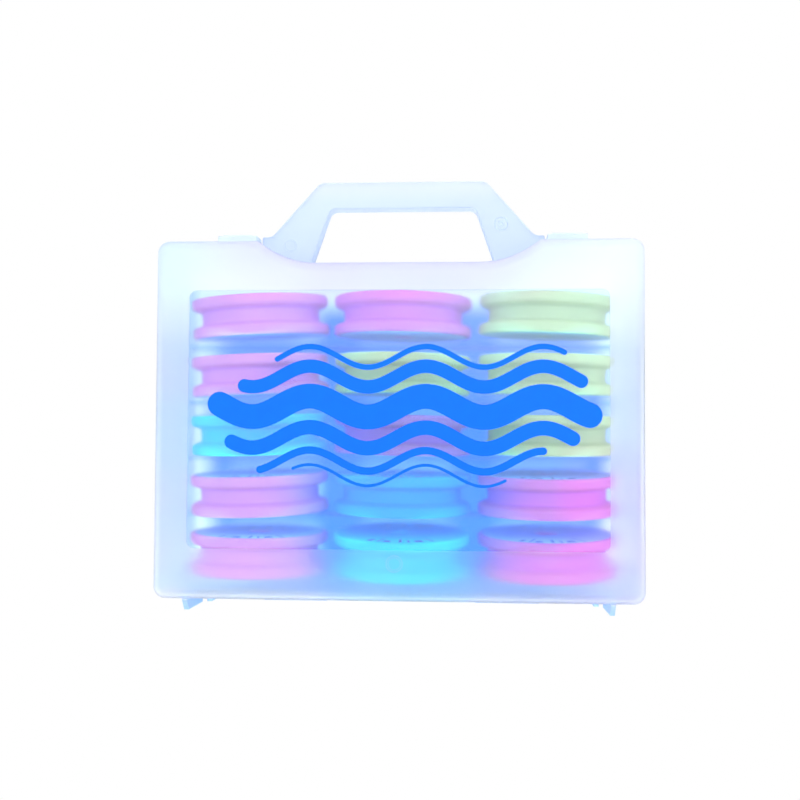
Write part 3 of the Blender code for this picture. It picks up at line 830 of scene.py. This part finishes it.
def mark(name, body, rings, y):
    bm = bmesh.new()
    for cx, cz, r, tube in rings:
        part = ring(cx, cz, y, r, tube, 0.12)
        mesh = mesh_from(part, name)
        bm.from_mesh(mesh)
        bpy.data.meshes.remove(mesh)
    ob = link(name, mesh_from(bm, name), [m_mark])
    ob.data.transform(UP)
    smooth(ob.data)
    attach(ob, body)


mark("gate_ring", "lid", ((-0.8, 18.4, 3.9, 0.24), (-0.8, 18.4, 2.9, 0.18)), -HALF_DEPTH)
mark("date_ring", "case",
     ((50.9, 189.3, 3.4, 0.35), (50.9, 189.3, 1.2, 0.3)), GRIP[0])
mark("foot_ring", "case", ((-58.5, 178.6, 3.0, 0.22),), GRIP[0])
for side, sx, body in (("left", -1, "latch_l"), ("right", 1, "latch_r")):
    flap = latch(side, sx, [m_flap])
    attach(flap, body)
    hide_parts(f"latch_{side}")

for row in range(5):
    for col in range(3):
        key = f"winder_r{row + 1}c{col + 1}"
        colour = FOAM[row][col]
        spool = winder(f"foam_{key}", row, col, [m_foam[colour]])
        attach(spool, key + "_body")
        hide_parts(key)
        scale = ticks(f"ticks_{key}", row, col, [m_tick])
        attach(scale, key + "_body")

for name, ob in NODES.items():
    if name.startswith("divider_"):
        ob.data.materials.clear()
        ob.data.materials.append(m_rib_shade)
    elif "_pin_" in name:
        ob.data.materials.clear()
        ob.data.materials.append(m_pin)


# Print on the window: plain waves of even width.
def wave(name, z, width, x0, x1, length, height, phase):
    steps = 160
    top, low = [], []
    for i in range(steps + 1):
        x = x0 + (x1 - x0) * i / steps
        a = 2 * math.pi * x / length + phase
        y = z + height * math.sin(a)
        slope = height * 2 * math.pi / length * math.cos(a)
        nx, nz = -slope / math.hypot(1, slope), 1 / math.hypot(1, slope)
        top.append((x + nx * width / 2, y + nz * width / 2))
        low.append((x - nx * width / 2, y - nz * width / 2))
    start = [Vector(low[0]), Vector(top[0])]
    pts = low[:]
    for ends, sgn in ((( low[-1], top[-1]), 1), ((top[0], low[0]), -1)):
        c = (Vector(ends[0]) + Vector(ends[1])) / 2
        v = Vector(ends[0]) - c
        for k in range(1, 10):
            t = math.pi * k / 10
            pts.append((c.x + v.x * math.cos(t) - v.y * math.sin(t), c.y + v.x * math.sin(t) + v.y * math.cos(t)))
        if sgn > 0:
            pts.extend(reversed(top))
    bm = prism(pts, -HALF_DEPTH + WINDOW_DEEP - 0.06, -HALF_DEPTH + WINDOW_DEEP - 0.005)
    ob = link(name, mesh_from(bm, name), [m_ink])
    ob.data.transform(UP)
    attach(ob, "lid")
    return ob


for k, (z, width, x0, x1) in enumerate(((117.5, 2.6, -58.0, 80.0), (108.0, 6.5, -74.0, 88.0),
                                        (93.5, 12.0, -86.0, 92.0), (78.5, 7.0, -80.0, 84.0),
                                        (67.5, 3.6, -66.0, 70.0), (60.5, 1.4, -50.0, 52.0))):
    wave(f"print_wave_{k + 1}", z, width, x0, x1, 56.0, 5.0, 0.0)

# ------------------------------------------------------------------ studio
floor_mat, tree, out = new_material("studio_floor")
coord = node(tree, "ShaderNodeTexCoord").outputs["Object"]
soft = noise(tree, coord, 3.0, 2.0)
bsdf = node(tree, "ShaderNodeBsdfPrincipled")
tree.links.new(ramp(tree, soft.outputs["Fac"], ((0.3, (0.90, 0.90, 0.90)), (0.7, (0.93, 0.93, 0.93)))),
               bsdf.inputs["Base Color"])
bsdf.inputs["Roughness"].default_value = 0.9
bsdf.inputs["Specular IOR Level"].default_value = 0.0
bsdf.inputs["Emission Color"].default_value = (0.95, 0.98, 1.0, 1)
bsdf.inputs["Emission Strength"].default_value = 0.56
paper = tree.nodes.new("ShaderNodeEmission")
paper.inputs["Color"].default_value = (1, 1, 1, 1)
paper.inputs["Strength"].default_value = 1.0
ray = tree.nodes.new("ShaderNodeLightPath")
lit = tree.nodes.new("ShaderNodeMixShader")
tree.links.new(ray.outputs["Is Camera Ray"], lit.inputs["Fac"])
tree.links.new(bsdf.outputs[0], lit.inputs[1])
tree.links.new(paper.outputs[0], lit.inputs[2])
tree.links.new(lit.outputs[0], out.inputs["Surface"])
bm = bmesh.new()
bmesh.ops.create_grid(bm, x_segments=2, y_segments=2, size=30.0)
floor = link("studio_floor", mesh_from(bm, "studio_floor"), [floor_mat])
floor.visible_camera = False            # the opened lid swings down past it and stays in sight

world = bpy.data.worlds.new("studio")
bpy.context.scene.world = world
world.use_nodes = True
wt = world.node_tree
wt.nodes.clear()
w_out = wt.nodes.new("ShaderNodeOutputWorld")
seen = wt.nodes.new("ShaderNodeBackground")
seen.inputs["Color"].default_value = (1, 1, 1, 1)
fill = wt.nodes.new("ShaderNodeBackground")
fill.inputs["Color"].default_value = (0.94, 1.0, 1.12, 1)
fill.inputs["Strength"].default_value = 1.06
pick = wt.nodes.new("ShaderNodeMixShader")
lp = wt.nodes.new("ShaderNodeLightPath")
wt.links.new(lp.outputs["Is Camera Ray"], pick.inputs["Fac"])
wt.links.new(fill.outputs[0], pick.inputs[1])
wt.links.new(seen.outputs[0], pick.inputs[2])
wt.links.new(pick.outputs[0], w_out.inputs["Surface"])


def lamp(kind, name, energy, loc, aim, size=None, angle=None):
    data = bpy.data.lights.new(name, kind)
    data.energy = energy
    if kind == 'AREA':
        data.shape = 'RECTANGLE'
        data.size, data.size_y = size
    if angle:
        data.angle = math.radians(angle)
    ob = bpy.data.objects.new(name, data)
    bpy.context.scene.collection.objects.link(ob)
    ob.location = loc
    ob.rotation_euler = (Vector(aim) - Vector(loc)).to_track_quat('-Z', 'Y').to_euler()
    return ob


lamp("SUN", "key", 0.75, (0.25, -1.3, 0.5), (0, 0, 0), angle=40)
lamp('AREA', "front_box", 1.5, (-0.5, -1.3, 0.3), (0, 0, 0.09), size=(1.0, 0.8))
lamp('AREA', "top_box", 1.5, (0.2, 0.1, 1.1), (0, 0, 0.1), size=(1.0, 0.8))

# Soft blue light between the rows, as in a case lit through from behind.
for row in range(6):
    z = (FOOT + ROW_TOP - ROW_PITCH * row + ROW_PITCH / 2) * MM
    tall = 0.006 if row < 5 else 0.003
    if row == 5:
        z += 0.001
    for y, aim in ((-0.0345, 0.0), (0.0345, 0.0))[(row == 5):]:
        glow = lamp('AREA', f"row_glow_{row}", 0.010, (0.0, y, z), (0.0, aim, z), size=(0.205, tall))
        glow.data.color = (0.16, 0.80, 1.0)
        glow.visible_camera = glow.visible_glossy = glow.visible_transmission = False

# ------------------------------------------------------------------ camera
YAW, PITCH, ROLL = (math.radians(v) for v in (-3.72, -2.34, 0.29))
FOCAL_PX = 1107.9
cy, sy, cp, sp, cr, sr = (math.cos(YAW), math.sin(YAW), math.cos(PITCH), math.sin(PITCH),
                          math.cos(ROLL), math.sin(ROLL))
M = (Matrix(((cr, 0, sr), (0, 1, 0), (-sr, 0, cr))) @ Matrix(((1, 0, 0), (0, cp, -sp), (0, sp, cp)))
     @ Matrix(((cy, -sy, 0), (sy, cy, 0), (0, 0, 1))))
right, ahead, above = M[0], M[1], M[2]
cam_data = bpy.data.cameras.new("camera")
cam_data.sensor_width = 36.0
cam_data.lens = FOCAL_PX * 36.0 / 800.0
cam_data.clip_start, cam_data.clip_end = 0.01, 100.0
cam = bpy.data.objects.new("camera", cam_data)
bpy.context.scene.collection.objects.link(cam)
cam.matrix_world = Matrix((
    (right[0], above[0], -ahead[0], 0.0361),
    (right[1], above[1], -ahead[1], -0.5681),
    (right[2], above[2], -ahead[2], 0.0810),
    (0, 0, 0, 1)))
bpy.context.scene.camera = cam

scene = bpy.context.scene
scene.view_settings.view_transform = 'Standard'
scene.view_settings.look = 'None'
scene.cycles.use_denoising = True
scene.cycles.max_bounces = 16
scene.cycles.transmission_bounces = 12
scene.cycles.transparent_max_bounces = 12
scene.cycles.diffuse_bounces = 8

bpy.context.view_layer.update()
